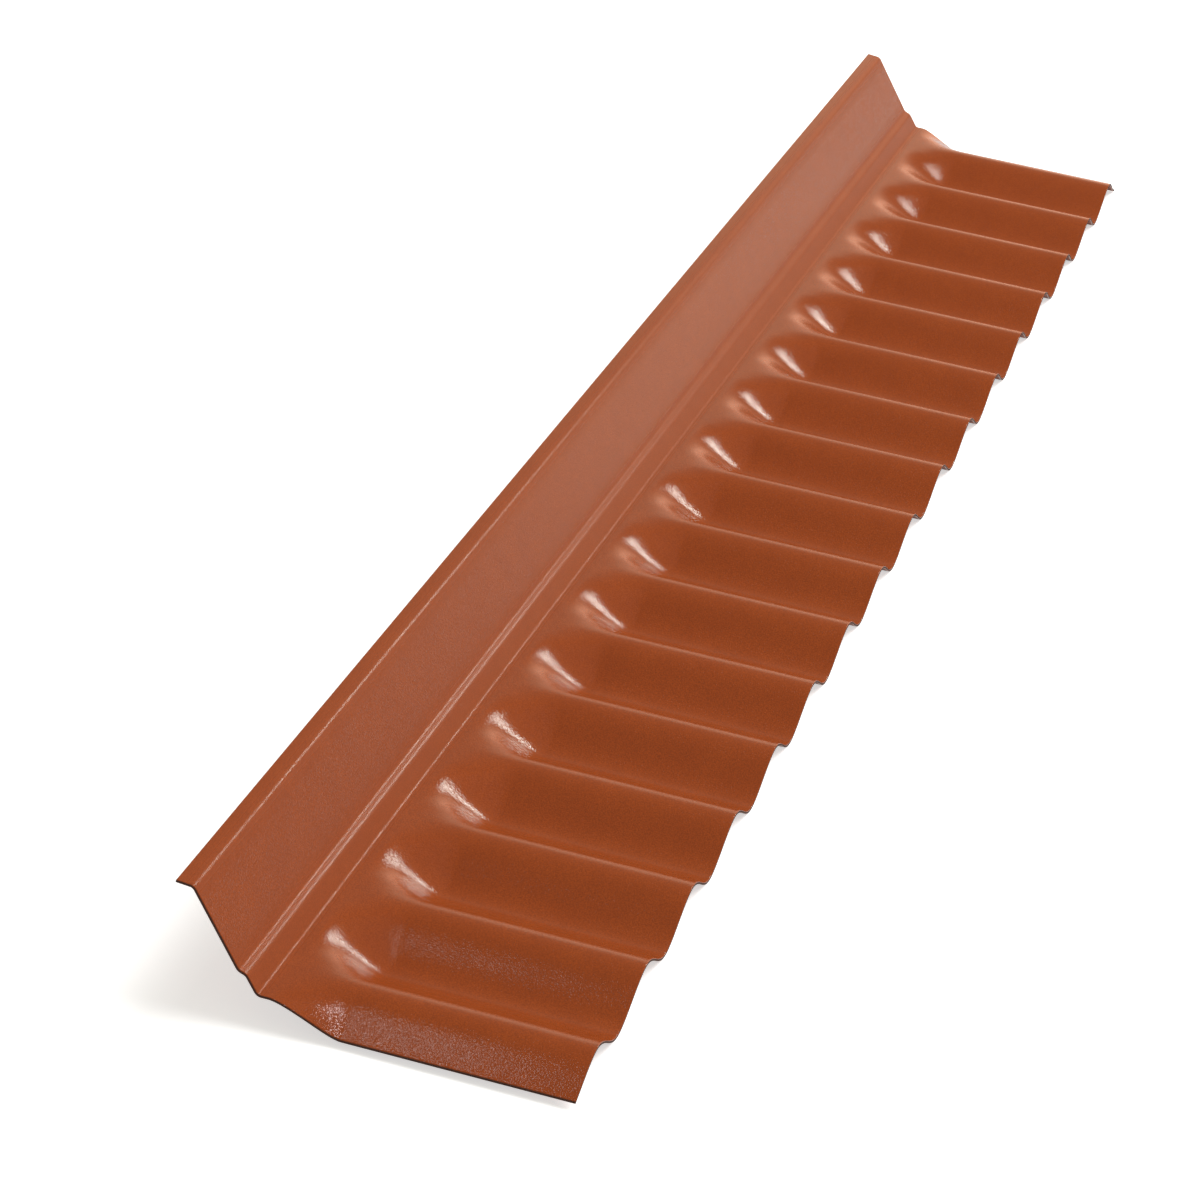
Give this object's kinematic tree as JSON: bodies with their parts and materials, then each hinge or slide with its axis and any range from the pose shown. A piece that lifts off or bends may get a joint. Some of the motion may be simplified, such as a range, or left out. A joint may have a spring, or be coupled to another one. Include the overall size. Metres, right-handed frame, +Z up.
{
  "type": "corrugated apron flashing",
  "caption": "Long formed plastic flashing: a leaning upstand with a lip, for the wall, and an apron with shallow closed-end corrugations that laps over corrugated roof sheets.",
  "frame": {"origin": "on the floor under the middle of the sheet's footprint", "axes": "+X along the length, +Y from the apron's free edge towards the upstand, +Z up"},
  "size_m": [1.042, 0.1434, 0.0467],
  "materials": {
    "terracotta_plastic": "satin terracotta plastic with a fine pebbled grain"
  },
  "bodies": {
    "root": {"apron_flashing": "terracotta_plastic"}
  },
  "joints": []
}
